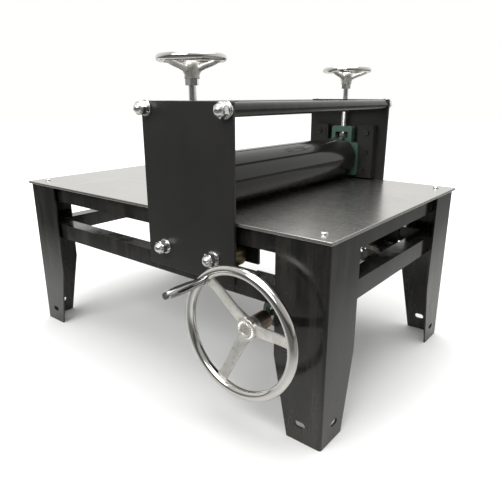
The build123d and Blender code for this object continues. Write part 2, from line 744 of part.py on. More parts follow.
def add_hand_shaft_bearings():
    housing = bearing_block()
    brackets, blocks, bolts, races, rings = [], [], [], [], []
    x_pair = (hand_shaft_x - bracket_width / 2, hand_shaft_x + bracket_width / 2)
    for _, side in sides:
        y_block = side * block_y
        upright_y = span(side, rail_inner_y - bracket_thickness, rail_inner_y)
        upright = block(x_pair, upright_y, (bracket_face, lower_rail_top))
        shelf_z = (bracket_face, bracket_face + bracket_thickness)
        bracket = upright + block(x_pair, span(side, rail_inner_y - bracket_depth, rail_inner_y), shelf_z)
        cast = Pos(hand_shaft_x, y_block, hand_shaft_z) * housing
        for end in (-1, 1):
            x = hand_shaft_x + end * bracket_bolt_spacing / 2
            shank = bar_z(x, y_block, bracket_bolt, (bracket_face - bracket_bolt_depth, shelf_z[1]))
            head = Pos(x, y_block, shelf_z[1]) * hexagon(bracket_bolt_head, bracket_bolt_head_height)
            bracket = bracket - shank
            cast = cast - shank
            bolts.append(shank + head)
        brackets.append(bracket)
        blocks.append(cast)
        middle = span(side, block_y - block_outer_width / 2, block_y + block_outer_width / 2)
        races.append(ring_y(hand_shaft_x, hand_shaft_z, block_bore, block_race, middle))
        wide = span(side, block_y - block_inner_width / 2, block_y + block_inner_width / 2)
        track = bar_y(hand_shaft_x, hand_shaft_z, block_race - 2 * running_clearance, middle)
        shoulder_diameter = hand_shaft_diameter + 2 * block_inner_wall
        shoulder = bar_y(hand_shaft_x, hand_shaft_z, shoulder_diameter, wide)
        rings.append(track + shoulder - bar_y(hand_shaft_x, hand_shaft_z, hand_shaft_diameter, wide))
    parts["bearing_brackets"] = group(brackets)
    parts["bearing_blocks"] = group(blocks)
    parts["bearing_bolts"] = group(bolts)
    parts["shaft_bearing_outer_rings"] = group(races)
    parts["shaft_bearing_inner_rings"] = group(rings)


# ---------- chain drive ----------
def sprocket(bore):
    """A toothed disc on the Y axis with a round hub on its back."""
    disc_y = (-sprocket_width / 2, sprocket_width / 2)
    wheel = bar_y(0, 0, 2 * sprocket_tip_radius, disc_y)
    for tooth in range(sprocket_teeth):
        angle = 2 * math.pi * (tooth + 0.5) / sprocket_teeth
        x = pitch_radius * math.cos(angle)
        z = pitch_radius * math.sin(angle)
        wheel = wheel - bar_y(x, z, chain_roller + 2 * tooth_clearance, disc_y)
    wheel = wheel + bar_y(0, 0, sprocket_hub_diameter, (0, sprocket_width / 2 + sprocket_hub_length))
    return wheel - bar_y(0, 0, bore, (-sprocket_width, sprocket_width + sprocket_hub_length))


def chain_strap(y):
    """One side of the chain loop: a flat ring round both sprockets."""
    length = hand_shaft_x - idler_x
    outer = SlotCenterToCenter(length, 2 * pitch_radius + chain_plate_height)
    inner = SlotCenterToCenter(length, 2 * pitch_radius - chain_plate_height)
    strap = Rot(90, 0, 0) * extrude(outer - inner, amount=y[1] - y[0])
    return Pos((hand_shaft_x + idler_x) / 2, y[1], hand_shaft_z) * strap


def add_chain():
    inner = chain_inner_width / 2
    outer = inner + chain_plate_thickness
    straps = chain_strap((chain_y - outer, chain_y - inner))
    other_strap = chain_strap((chain_y + inner, chain_y + outer))
    pin_y = (chain_y - chain_pin_reach / 2, chain_y + chain_pin_reach / 2)
    pins = []
    clear_of_teeth = chain_bare_pitches * chain_pitch
    count = int((hand_shaft_x - idler_x - 2 * clear_of_teeth) / chain_pitch)
    start = (hand_shaft_x + idler_x - count * chain_pitch) / 2
    for link in range(count + 1):
        for run in (-1, 1):
            x = start + link * chain_pitch
            z = hand_shaft_z + run * pitch_radius
            pins.append(bar_y(x, z, chain_roller, (chain_y - inner, chain_y + inner)))
            pins.append(bar_y(x, z, chain_roller / 2, pin_y))
    parts["drive_chain"] = straps.fuse(other_strap, *pins)
    parts["drive_sprocket"] = Pos(hand_shaft_x, chain_y, hand_shaft_z) * sprocket(hand_shaft_diameter)
    idler_bore = idler_pin_diameter + 2 * running_clearance
    parts["idler_sprocket"] = Pos(idler_x, chain_y, hand_shaft_z) * sprocket(idler_bore)


def add_idler_mounting():
    x = (idler_x - idler_bracket_width / 2, idler_x + idler_bracket_width / 2)
    y = (rail_inner_y - idler_bracket_thickness, rail_inner_y)
    plate = block(x, y, (hand_shaft_z - idler_bracket_below, lower_rail_top))
    parts["idler_bracket"] = plate - bar_y(idler_x, hand_shaft_z, idler_pin_diameter, y)
    front = chain_y - sprocket_width / 2 - end_gap
    pin = bar_y(idler_x, hand_shaft_z, idler_pin_diameter, (front, rail_inner_y))
    head = bar_y(idler_x, hand_shaft_z, spacer_diameter, (front - idler_head_thickness, front))
    hub_back = chain_y + sprocket_width / 2 + sprocket_hub_length + end_gap
    sleeve = bar_y(idler_x, hand_shaft_z, spacer_diameter, (hub_back, rail_inner_y - idler_bracket_thickness))
    parts["idler_pin"] = pin + head + sleeve


def add_chain_clamp():
    """A bracket from the rear inner plate that reaches over the chain's upper run."""
    x = (carriage_x - clamp_width / 2, carriage_x + clamp_width / 2)
    shelf_bottom = chain_run_z + chain_plate_height / 2 + clamp_gap
    shelf_z = (shelf_bottom, shelf_bottom + clamp_thickness)
    cheek_in = chain_pin_reach / 2 + clamp_side_gap
    front = chain_y - cheek_in - clamp_cheek
    upright_y = (inner_plate_inner_y - clamp_thickness, inner_plate_inner_y)
    clamp = block(x, upright_y, (shelf_bottom, clamp_top)) + block(x, (front, inner_plate_inner_y), shelf_z)
    cheek_z = (chain_run_z - clamp_reach_below, shelf_z[1])
    clamp = clamp + block(x, (front, front + clamp_cheek), cheek_z)
    clamp = clamp + block(x, (chain_y + cheek_in, chain_y + cheek_in + clamp_cheek), cheek_z)
    parts["chain_clamp"] = clamp


def build_all():
    add_legs()
    add_rails()
    add_packing()
    add_bed()
    add_side_plates()
    add_ties()
    add_tie_fasteners()
    add_track_rollers()
    add_screw_beams()
    add_guides()
    add_takeups()
    add_upper_roller()
    add_pressure_screws()
    add_hand_wheel()
    add_crank_grip()
    add_hand_shaft_bearings()
    add_chain()
    add_idler_mounting()
    add_chain_clamp()


build_all()
os.makedirs("parts", exist_ok=True)
for name, shape in parts.items():
    export_step(shape, f"parts/{name}.step")
print(len(parts), "nodes written")
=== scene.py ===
import math
import bmesh
import bpy
import numpy as np
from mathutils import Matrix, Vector


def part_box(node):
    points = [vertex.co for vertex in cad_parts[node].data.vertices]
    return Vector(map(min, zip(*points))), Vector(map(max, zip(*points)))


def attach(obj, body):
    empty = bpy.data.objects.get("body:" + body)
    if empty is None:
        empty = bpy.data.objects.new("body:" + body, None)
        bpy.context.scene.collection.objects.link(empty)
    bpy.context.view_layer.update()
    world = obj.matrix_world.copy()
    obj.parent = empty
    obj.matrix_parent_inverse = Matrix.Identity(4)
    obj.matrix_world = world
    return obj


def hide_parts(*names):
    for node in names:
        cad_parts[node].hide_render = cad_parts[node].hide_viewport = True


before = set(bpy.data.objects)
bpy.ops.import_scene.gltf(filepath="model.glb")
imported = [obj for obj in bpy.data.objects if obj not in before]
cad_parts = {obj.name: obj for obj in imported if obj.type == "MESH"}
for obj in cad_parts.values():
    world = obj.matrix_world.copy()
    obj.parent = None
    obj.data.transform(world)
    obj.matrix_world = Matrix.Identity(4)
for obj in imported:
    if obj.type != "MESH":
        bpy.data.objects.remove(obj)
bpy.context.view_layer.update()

print("frame loaded,", len(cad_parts), "nodes")
turn = 2 * math.pi


# shader maths

class Wire:
    # a socket that adds, multiplies and so on as numbers do, each time with one Math node
    def __init__(self, paint, socket):
        self.paint = paint
        self.socket = socket

    def maths(self, operation, *values):
        return self.paint.add("ShaderNodeMath", {"operation": operation}, dict(enumerate(values)))

    def __add__(self, other):
        return self.maths("ADD", self, other)

    def __sub__(self, other):
        return self.maths("SUBTRACT", self, other)

    def __rsub__(self, other):
        return self.maths("SUBTRACT", other, self)

    def __mul__(self, other):
        return self.maths("MULTIPLY", self, other)

    def __pow__(self, other):
        return self.maths("POWER", self, other)

    __radd__ = __add__
    __rmul__ = __mul__

    def clamped(self):
        return self.maths("MINIMUM", self.maths("MAXIMUM", self, 0.0), 1.0)


class NodeMaker:
    # adds any node to a tree: its settings first, then the values or links of its sockets
    def __init__(self, tree):
        self.tree = tree

    def plug(self, socket, value):
        if isinstance(value, Wire):
            self.tree.links.new(value.socket, socket)
        elif isinstance(value, tuple) and len(value) == 3 and len(socket.default_value) == 4:
            socket.default_value = (*value, 1.0)
        else:
            socket.default_value = value

    def add(self, kind, settings, inputs, out=0):
        node = self.tree.nodes.new(kind)
        for key, value in settings.items():
            if key == "stops":
                self.setStops(node.color_ramp, value)
            else:
                setattr(node, key, value)
        for key, value in inputs.items():
            self.plug(node.inputs[key], value)
        return Wire(self, node.outputs[out])

    def setStops(self, ramp, stops):
        while len(ramp.elements) < len(stops):
            ramp.elements.new(0.5)
        for element, (position, shade) in zip(ramp.elements, stops):
            element.position = position
            element.color = (shade, shade, shade, 1.0)


class Paint(NodeMaker):
    # one material: a Principled shader and what feeds it
    def __init__(self, name):
        self.material = bpy.data.materials.new(name)
        self.material.use_nodes = True
        super().__init__(self.material.node_tree)
        self.shader = self.tree.nodes["Principled BSDF"]
        self.place = self.add("ShaderNodeTexCoord", {}, {}, "Object")

    def stretched(self, scale):
        return self.add("ShaderNodeVectorMath", {"operation": "MULTIPLY"}, {0: self.place, 1: scale})

    def noise(self, scale, detail=3.0, rough=0.5, vector=None):
        values = {"Vector": vector or self.place, "Scale": scale, "Detail": detail, "Roughness": rough}
        return self.add("ShaderNodeTexNoise", {}, values)

    def ramp(self, value, *stops):
        return self.add("ShaderNodeValToRGB", {"stops": stops}, {"Fac": value})

    def mix(self, factor, first, second):
        values = {0: factor, 6: first, 7: second}
        return self.add("ShaderNodeMix", {"data_type": "RGBA"}, values, 2)

    def bump(self, height, strength, distance):
        values = {"Height": height, "Strength": strength, "Distance": distance}
        return self.add("ShaderNodeBump", {}, values)

    def along(self, axis):
        return self.add("ShaderNodeSeparateXYZ", {}, {0: self.place}, axis)

    def finish(self, **values):
        for key, value in values.items():
            self.plug(self.shader.inputs[key.replace("_", " ")], value)
        return self.material


# finishes

def glossBlackPaint():
    # brushed or sprayed gloss enamel: slight orange peel, long waves, dust, and a painted reflection of the
    # bright floor that lightens it low down
    paint = Paint("gloss_black_enamel")
    peel = paint.noise(620.0, 2.0)
    wave = paint.noise(28.0, 2.0)
    dust = paint.ramp(paint.noise(46.0, 6.0, 0.65), (0.52, 0.0), (0.80, 1.0))
    # painted reflection: low is 1 at the floor and 0 from 0.17 up, lightening the base colour near the floor
    # as the bright floor mirrored in the paint
    low = paint.ramp(paint.along("Z"), (0.0, 1.0), (0.17, 0.0))
    runs = paint.noise(34.0, 5.0, 0.6, paint.stretched((1.0, 1.0, 0.14)))
    drips = paint.ramp(runs, (0.42, 0.0), (0.62, 1.0))
    # film mixes real dust and paint runs with the painted floor reflection carried by low
    film = (dust * 0.20 + drips * 0.42 + low * 0.45).clamped()
    colour = paint.mix(film, (0.0075, 0.0074, 0.0068), (0.046, 0.043, 0.036))
    normal = paint.bump(peel * 0.25 + wave, 0.16, 0.0012)
    return paint.finish(
        Base_Color=colour,
        Roughness=0.12 + dust * 0.06 + drips * 0.13 + low * 0.12,
        Normal=normal,
        Specular_IOR_Level=0.42,
        Coat_Weight=0.18,
        Coat_Roughness=0.08,
    )


def satinBlackPaint():
    # thinner satin enamel, with faint handling marks
    paint = Paint("satin_black_enamel")
    grain = paint.noise(1100.0, 2.0)
    marks = paint.noise(9.0, 5.0, 0.7)
    strokes = paint.noise(60.0, 4.0, 0.6, paint.stretched((1.0, 1.0, 0.12)))
    rubs = paint.ramp(strokes, (0.56, 0.0), (0.74, 1.0))
    colour = paint.mix(marks, (0.0125, 0.0122, 0.0114), (0.0205, 0.0200, 0.0185))
    normal = paint.bump(grain, 0.10, 0.0004)
    return paint.finish(Base_Color=colour, Roughness=0.36 + marks * 0.12 - rubs * 0.06, Normal=normal)


def bedSteel():
    # ground plate: fine streaks along the bed, a few long scratches and oil blooms
    paint = Paint("ground_bed_steel")
    streaks = paint.noise(1.0, 4.0, 0.6, paint.stretched((9.0, 900.0, 40.0)))
    broad = paint.noise(5.0, 4.0, 0.6)
    bloom = paint.ramp(paint.noise(16.0, 6.0, 0.7), (0.45, 0.0), (0.75, 1.0))
    scratch = paint.noise(1.0, 1.0, 0.5, paint.stretched((55.0, 3.0, 3.0)))
    line = paint.ramp(scratch, (0.715, 0.0), (0.735, 1.0))
    colour = paint.mix(broad, (0.470, 0.462, 0.440), (0.580, 0.570, 0.545))
    colour = paint.mix(bloom * 0.12, colour, (0.400, 0.385, 0.350))
    colour = paint.mix(line * 0.25, colour, (0.78, 0.77, 0.74))
    normal = paint.bump(streaks, 0.10, 0.0004)
    return paint.finish(
        Base_Color=colour,
        Metallic=1.0,
        Roughness=0.23 + streaks * 0.08 + bloom * 0.02,
        Normal=normal,
    )


def castGreenPaint():
    # machine green over a sand casting
    paint = Paint("cast_machine_green")
    skin = paint.noise(260.0, 5.0, 0.6)
    tone = paint.noise(35.0, 4.0)
    chips = paint.ramp(paint.noise(120.0, 6.0, 0.7), (0.70, 0.0), (0.74, 1.0))
    colour = paint.mix(tone, (0.046, 0.098, 0.068), (0.076, 0.142, 0.104))
    colour = paint.mix(chips, colour, (0.075, 0.070, 0.058))
    normal = paint.bump(skin, 0.45, 0.0006)
    return paint.finish(Base_Color=colour, Roughness=0.38 + skin * 0.16, Normal=normal, Coat_Weight=0.2)


def platedMetal():
    # bright plating: the attribute polish is 1 on the buffed rim and 0 on the cast faces
    paint = Paint("bright_plating")
    polish = paint.add("ShaderNodeAttribute", {"attribute_name": "polish"}, {}, "Fac")
    skin = paint.noise(340.0, 5.0, 0.65)
    cloud = paint.noise(42.0, 4.0, 0.6)
    stain = paint.ramp(paint.noise(75.0, 6.0, 0.7), (0.47, 0.0), (0.68, 1.0))
    dull = 1.0 - polish
    cast = paint.mix(cloud, (0.80, 0.785, 0.74), (0.94, 0.93, 0.90))
    buffed = paint.mix(cloud, (0.58, 0.57, 0.535), (0.74, 0.73, 0.71))
    colour = paint.mix(stain * dull * 0.50, paint.mix(polish, cast, buffed), (0.42, 0.36, 0.27))
    normal = paint.bump(skin * (0.05 + dull), 0.50, 0.0007)
    return paint.finish(
        Base_Color=colour,
        Metallic=1.0,
        Roughness=0.06 + dull * 0.40 + cloud * 0.05,
        Normal=normal,
    )


def darkChrome():
    # the grip: hard chrome over polished steel, with faint turning lines
    paint = Paint("polished_grip_chrome")
    lines = paint.noise(1.0, 2.0, 0.5, paint.stretched((30.0, 1400.0, 30.0)))
    haze = paint.ramp(paint.noise(60.0, 5.0, 0.6), (0.45, 0.0), (0.80, 1.0))
    colour = paint.mix(haze, (0.50, 0.50, 0.49), (0.36, 0.355, 0.34))
    return paint.finish(Base_Color=colour, Metallic=1.0, Roughness=0.07 + haze * 0.10,
                        Normal=paint.bump(lines, 0.06, 0.0002))


def zincPlate():
    paint = Paint("bright_zinc")
    cloud = paint.noise(150.0, 4.0, 0.6)
    bloom = paint.ramp(paint.noise(260.0, 5.0, 0.7), (0.55, 0.0), (0.85, 1.0))
    colour = paint.mix(cloud, (0.72, 0.72, 0.72), (0.88, 0.87, 0.84))
    colour = paint.mix(bloom * 0.35, colour, (0.46, 0.44, 0.38))
    normal = paint.bump(cloud, 0.10, 0.0003)
    return paint.finish(Base_Color=colour, Metallic=1.0, Roughness=0.22 + bloom * 0.18, Normal=normal)


def machinedSteel(name, light, dark, rough, stretch):
    # turned or milled steel: tool marks as noise squeezed along the cut, with an oil film
    paint = Paint(name)
    marks = paint.noise(1.0, 3.0, 0.6, paint.stretched(stretch))
    film = paint.ramp(paint.noise(48.0, 5.0, 0.65), (0.40, 0.0), (0.75, 1.0))
    colour = paint.mix(film, light, dark)
    normal = paint.bump(marks, 0.14, 0.0003)
    return paint.finish(Base_Color=colour, Metallic=1.0, Roughness=rough + film * 0.14, Normal=normal)


def rollerEnamel():
    # smooth gloss coating on the turned tube, with a few dry marks
    paint = Paint("roller_enamel")
    wave = paint.noise(14.0, 2.0)
    peel = paint.noise(420.0, 2.0)
    marks = paint.ramp(paint.noise(24.0, 5.0, 0.7), (0.60, 0.0), (0.80, 1.0))
    colour = paint.mix(marks * 0.5, (0.0125, 0.0120, 0.0100), (0.034, 0.031, 0.024))
    normal = paint.bump(wave + peel * 0.05, 0.08, 0.0010)
    return paint.finish(Base_Color=colour, Roughness=0.13 + marks * 0.12, Normal=normal,
                        Specular_IOR_Level=0.42, Coat_Weight=0.12)


finishes = {
    "gloss": glossBlackPaint(),
    "satin": satinBlackPaint(),
    "bed": bedSteel(),
    "green": castGreenPaint(),
    "plated": platedMetal(),
    "grip": darkChrome(),
    "zinc": zincPlate(),
    "roller": rollerEnamel(),
}
# name, clean colour, oiled colour, roughness, and how the tool marks are squeezed along X, Y and Z
steels = {
    "turned": ("turned_steel", (0.62, 0.62, 0.61), (0.42, 0.41, 0.38), 0.20, (60.0, 900.0, 60.0)),
    "rolled": ("oiled_roller_steel", (0.235, 0.190, 0.100), (0.120, 0.095, 0.050), 0.30, (90.0, 700.0, 90.0)),
    "collar": ("tempered_collar_steel", (0.250, 0.190, 0.140), (0.120, 0.090, 0.066), 0.30,
               (80.0, 900.0, 80.0)),
    "chain": ("oiled_chain_steel", (0.250, 0.240, 0.215), (0.110, 0.100, 0.085), 0.34, (300.0, 300.0, 300.0)),
    "blued": ("blackened_sprocket_steel", (0.120, 0.118, 0.115), (0.060, 0.056, 0.050), 0.36,
              (250.0, 60.0, 250.0)),
}
for finish, values in steels.items():
    finishes[finish] = machinedSteel(*values)
print("finishes made,", len(finishes))


# surfaces from arrays

def axes(origin, first, second):
    # a place with two directions; the third follows by the right hand
    first = np.array(first, float)
    second = np.array(second, float)
    return np.array(origin, float), first, second, np.cross(first, second)


def placed(points, where):
    origin, first, second, third = where
    return origin + points[..., :1] * first + points[..., 1:2] * second + points[..., 2:] * third


def spun(profile, steps, radiusOf=None):
    # each point (r, z) of the profile carried round the third axis; radiusOf may change r by angle
    profile = np.array(profile, float)
    angle = np.linspace(0.0, turn, steps, endpoint=False)[:, None]
    radius = np.broadcast_to(profile[:, 0], (steps, len(profile)))
    if radiusOf is not None:
        radius = radiusOf(angle, profile[:, 0], profile[:, 1])
    height = np.broadcast_to(profile[:, 1], (steps, len(profile)))
    return np.stack([radius * np.cos(angle), radius * np.sin(angle), height], -1)


def gridFaces(rows, columns, offset, wrapRows, wrapColumns):
    i = np.arange(rows if wrapRows else rows - 1)[:, None]
    j = np.arange(columns if wrapColumns else columns - 1)[None, :]
    nextI = (i + 1) % rows
    nextJ = (j + 1) % columns
    corners = [i * columns + j, nextI * columns + j, nextI * columns + nextJ, i * columns + nextJ]
    return np.stack([np.broadcast_to(c, (i.size, j.size)) for c in corners], -1).reshape(-1, 4) + offset


def makePiece(name, shells, finish, body, nodes=(), smoothAngle=35.0):
    # shells: (points on a grid, rows wrap, columns wrap, polish)
    # doubles at the poles are merged and normals turned outwards
    points, faces, polish = [], [], []
    offset = 0
    for grid, wrapRows, wrapColumns, shine in shells:
        rows, columns = grid.shape[:2]
        points.append(grid.reshape(-1, 3))
        faces.append(gridFaces(rows, columns, offset, wrapRows, wrapColumns))
        polish.append(np.full(rows * columns, shine))
        offset += rows * columns
    mesh = bpy.data.meshes.new(name)
    mesh.from_pydata(np.concatenate(points), [], np.concatenate(faces))
    mesh.attributes.new("polish", "FLOAT", "POINT").data.foreach_set("value", np.concatenate(polish))
    work = bmesh.new()
    work.from_mesh(mesh)
    bmesh.ops.remove_doubles(work, verts=work.verts, dist=2e-6)
    bmesh.ops.dissolve_degenerate(work, edges=work.edges, dist=1e-6)
    bmesh.ops.recalc_face_normals(work, faces=work.faces)
    work.to_mesh(mesh)
    work.free()
    mesh.shade_smooth()
    mesh.set_sharp_from_angle(angle=math.radians(smoothAngle))
    mesh.materials.append(finishes[finish])
    piece = bpy.data.objects.new(name, mesh)
    bpy.context.scene.collection.objects.link(piece)
    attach(piece, body)
    if nodes:
        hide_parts(*nodes)
    return piece


def middle(node):
    low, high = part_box(node)
    return (low + high) / 2


def arc(centre, radius, start, end, steps):
    # points (r, z) on a circle between two angles in degrees
    angle = np.radians(np.linspace(start, end, steps))
    return [(centre[0] + radius * math.cos(a), centre[1] + radius * math.sin(a)) for a in angle]


# plates

plateEdge = {"corner": 0.003, "round": 0.0009, "flatStart": 1.6, "cornerSteps": 7, "roundSteps": 4}


def slabSurface(low, high, thin):
    # a rounded rectangle outline, carried through a profile that runs out over one face,
    # round the edge and back over the other face
    sizes = plateEdge
    flat = [axis for axis in range(3) if axis != thin]
    centre = np.array([(low[axis] + high[axis]) / 2 for axis in flat])
    half = np.array([(high[axis] - low[axis]) / 2 for axis in flat])
    corner = sizes["corner"]
    quarter = np.linspace(0, math.pi / 2, sizes["cornerSteps"])
    angle = np.concatenate([quarter + k * math.pi / 2 for k in range(4)])
    normal = np.stack([np.cos(angle), np.sin(angle)], -1)
    signs = np.repeat([[1, 1], [-1, 1], [-1, -1], [1, -1]], sizes["cornerSteps"], axis=0)
    core = signs * (half - corner)
    step = np.linspace(-math.pi / 2, 0, sizes["roundSteps"])
    depth = sizes["round"]
    thick = high[thin] - low[thin]
    flatStart = [depth * sizes["flatStart"]]
    away = depth * (1 - np.cos(step))
    climb = depth * (1 + np.sin(step))
    inset = np.concatenate([flatStart, away, away[::-1], flatStart])
    level = np.concatenate([[0.0], climb, thick - climb[::-1], [thick]])
    outline = core[:, None, :] + normal[:, None, :] * (corner - inset)[None, :, None]
    outline = np.concatenate([outline[:, :1] * 0, outline, outline[:, :1] * 0], 1)
    level = np.concatenate([level[:1], level, level[-1:]])
    grid = np.zeros((*outline.shape[:2], 3))
    grid[..., flat[0]] = outline[..., 0] + centre[0]
    grid[..., flat[1]] = outline[..., 1] + centre[1]
    grid[..., thin] = low[thin] + level
    return grid


for side in ("front", "back"):
    plate = slabSurface(*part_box(f"side_plate_{side}"), 1)
    makePiece(f"side_plate_skin_{side}", [(plate, True, False, 0)], "satin", "carriage",
              [f"side_plate_{side}"])
bed = slabSurface(*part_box("bed_plate"), 2)
makePiece("bed_surface", [(bed, True, False, 0)], "bed", "frame", ["bed_plate"])
print("plates made")


# hand wheels

driveWheel = {
    "rimTube": 0.0095, "hubRadius": 0.021, "hubLength": 0.024, "firstSpoke": 8.0,
    "spokeHalf": 0.0100, "spokeThick": 0.0032, "hubBase": 0.4, "bore": 0.010, "flutes": 24, "rib": 0.0,
}
pressureWheel = {
    "rimTube": 0.0065, "hubRadius": 0.0155, "hubLength": 0.028, "firstSpoke": 20.0,
    "spokeHalf": 0.0052, "spokeThick": 0.0024, "hubBase": 0.42, "bore": 0.007, "flutes": 12, "rib": 0.0018,
}


# the rim's dressed flat; where the spokes start and how they bend, swell and round off; the hub's edges,
# its step as shares of radius and length, and its band of flutes
wheelCasting = {
    "rimFlat": 0.05, "spokeStart": 0.55, "spokeBend": 0.05, "rootSwell": 0.30, "rootThicker": 0.5,
    "tipFrom": 0.84, "tipSwell": 0.34, "sectionPower": 0.42, "hubEdge": 0.0016, "foot": 0.80,
    "waist": (0.86, 0.22), "shoulder": 0.40, "faceRings": (0.88, 0.84, 0.78, 0.72, 0.66, 0.60),
    "fluteIn": 0.60, "fluteOut": 0.88, "fluteFade": 0.10, "fluteDepth": 0.0011,
    "rimPolish": 1.0, "spokePolish": 0.12, "hubPolish": 0.25,
}


def rimSurface(radius, tube, dish):
    # a torus, a little flattened on its inner side where the castings' joint was dressed
    around = np.linspace(0, turn, 144, endpoint=False)[:, None]
    across = np.linspace(0, turn, 28, endpoint=False)[None, :]
    squeeze = 1 - wheelCasting["rimFlat"] * np.clip(-np.cos(across), 0, 1) ** 3
    out = radius + tube * squeeze * np.cos(across)
    height = dish + tube * np.sin(across) + 0 * around
    return np.stack([out * np.cos(around), out * np.sin(around), height], -1)


def roundedOblong(t, power):
    # cosine and sine of t, each raised to a power with its sign kept: the lower the power, the squarer
    x = np.sign(np.cos(t)) * np.abs(np.cos(t)) ** power
    z = np.sign(np.sin(t)) * np.abs(np.sin(t)) ** power
    return x, z


def spokeSurface(wheel, radius, dish, degrees):
    # a rounded oblong section carried from the hub to the rim; it swells where it meets either
    casting = wheelCasting
    s = np.linspace(0, 1, 33)[:, None]
    t = np.linspace(0, turn, 32, endpoint=False)[None, :]
    start = wheel["hubRadius"] * casting["spokeStart"]
    along = start + (radius - start) * s
    rise = wheel["hubLength"] * wheel["hubBase"] + wheel["spokeThick"]
    ease = s + casting["spokeBend"] * np.sin(turn * s)
    lift = rise + (dish - rise) * ease
    tip = np.clip((s - casting["tipFrom"]) / (1 - casting["tipFrom"]), 0, 1)
    swell = 1 + casting["rootSwell"] * (1 - s) ** 3 + casting["tipSwell"] * tip ** 2
    ends = np.where((s == 0) | (s == 1), 0.0, 1.0)
    half = wheel["spokeHalf"] * swell * ends
    thick = wheel["spokeThick"] * (1 + casting["rootThicker"] * (1 - s) ** 2) * ends
    x, z = roundedOblong(t, casting["sectionPower"])
    keel = wheel["rib"] * np.clip(-z, 0, 1) * (1 - x * x) * ends * 2
    angle = math.radians(degrees)
    slope = math.atan2(dish - rise, radius - start)
    outward = along - z * thick * math.sin(slope)
    across = x * half
    height = lift + z * thick * math.cos(slope) - keel
    return np.stack([
        outward * math.cos(angle) - across * math.sin(angle),
        outward * math.sin(angle) + across * math.cos(angle),
        height + 0 * across,
    ], -1)


def hubSurface(wheel):
    # a stepped, rounded boss; its outer face has a ring of cast flutes round a raised collar
    radius, length, bore = wheel["hubRadius"], wheel["hubLength"], wheel["bore"]
    casting = wheelCasting
    edge = casting["hubEdge"]
    foot = radius * casting["foot"]
    waistRadius, waistHeight = casting["waist"]
    profile = [(0, 0), (foot, 0)]
    profile += arc((foot, edge), edge, -90, 0, 4)
    profile += [(radius * waistRadius, length * waistHeight), (radius, length * casting["shoulder"])]
    profile += arc((radius - edge, length - edge), edge, 0, 90, 5)
    profile += [(radius * share, length) for share in casting["faceRings"]]
    profile += arc((bore + edge, length), edge, 0, 180, 7)
    profile += [(bore, length - edge), (0, length - edge)]
    grid = spun(profile, 96)
    radial = np.hypot(grid[..., 0], grid[..., 1]) / radius
    angle = np.arctan2(grid[..., 1], grid[..., 0])
    fade = casting["fluteFade"]
    inner = np.clip((radial - casting["fluteIn"]) / fade, 0, 1)
    outer = np.clip((casting["fluteOut"] - radial) / fade, 0, 1)
    band = inner * outer
    face = grid[..., 2] > length - 1e-5
    grid[..., 2] += np.where(face, band * (np.cos(wheel["flutes"] * angle) - 1) * casting["fluteDepth"], 0)
    return grid


def wheelPiece(name, node, wheel, body, outward):
    low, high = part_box(node)
    centre = (low + high) / 2
    if outward == "Z":
        where = axes((centre.x, centre.y, low.z), (1, 0, 0), (0, 1, 0))
        dish = high.z - low.z - wheel["rimTube"]
    else:
        where = axes((centre.x, high.y, centre.z), (1, 0, 0), (0, 0, 1))
        dish = high.y - low.y - wheel["rimTube"]
    radius = (high.x - low.x) / 2 - wheel["rimTube"]
    shells = [(rimSurface(radius, wheel["rimTube"], dish), True, True, wheelCasting["rimPolish"])]
    for k in range(3):
        spoke = spokeSurface(wheel, radius, dish, wheel["firstSpoke"] + 120 * k)
        shells.append((spoke, False, True, wheelCasting["spokePolish"]))
    shells.append((hubSurface(wheel), True, False, wheelCasting["hubPolish"]))
    shells = [(placed(grid, where), a, b, shine) for grid, a, b, shine in shells]
    return makePiece(name, shells, "plated", body, [node], 40)


wheelPiece("drive_wheel_casting", "drive_hand_wheel", driveWheel, "hand_shaft", "-Y")
for side in ("front", "back"):
    wheelPiece(f"pressure_wheel_casting_{side}", f"pressure_hand_wheel_{side}", pressureWheel,
               f"screw_{side}", "Z")
print("hand wheels made")


# upper roller

rollerTube = {"wall": 0.008, "edge": 0.0012, "innerEdge": 0.0005, "steps": 192, "rings": 40}


def rollerSurface(sizes, radius, half):
    # a closed section of the tube wall, with rounded ends, carried round its axis
    edge, fine = sizes["edge"], sizes["innerEdge"]
    bore = radius - sizes["wall"]
    profile = [(bore, z) for z in (half - fine, -half + fine)] + [(bore + fine, -half)]
    profile += arc((radius - edge, -half + edge), edge, -90, 0, 6)
    profile += [(radius, z) for z in np.linspace(-half + edge, half - edge, sizes["rings"])[1:-1]]
    profile += arc((radius - edge, half - edge), edge, 0, 90, 6) + [(bore + fine, half)]
    return spun(profile, sizes["steps"])


low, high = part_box("upper_roller_tube")
where = axes((low + high) / 2, (1, 0, 0), (0, 0, -1))
tube = rollerSurface(rollerTube, (high.z - low.z) / 2, (high.y - low.y) / 2)
makePiece("upper_roller_coating", [(placed(tube, where), True, True, 0)], "roller", "upper_roller",
          ["upper_roller_tube"])
print("roller made")


# pressure screws

screwThread = {"pitch": 0.002, "depth": 0.00030, "steps": 36, "perTurn": 6, "plainTop": 0.078,
               "fade": 0.002, "pointTall": 0.0012, "pointIn": 0.0008}


def threadedRod(radius, length, sizes):
    # radius less a saw wave of (height / pitch - angle / turn); the wave fades at both ends, the foot tapers
    rows = int(length / sizes["pitch"] * sizes["perTurn"])
    z = np.linspace(0, length, rows)[None, :]
    angle = np.linspace(0, turn, sizes["steps"], endpoint=False)[:, None]
    wave = np.abs(((z / sizes["pitch"] - angle / turn) % 1.0) - 0.5) * 2
    fade = np.clip(z / sizes["fade"], 0, 1) * np.clip((length - sizes["plainTop"] - z) / sizes["fade"], 0, 1)
    point = sizes["pointIn"] * np.clip(1 - z / sizes["pointTall"], 0, 1)
    r = radius - sizes["depth"] * wave * fade - point
    grid = np.stack([r * np.cos(angle), r * np.sin(angle), z + 0 * angle], -1)
    first = grid[:, :1] * [0, 0, 1]
    last = grid[:, -1:] * [0, 0, 1]
    return np.concatenate([first, grid, last], 1)


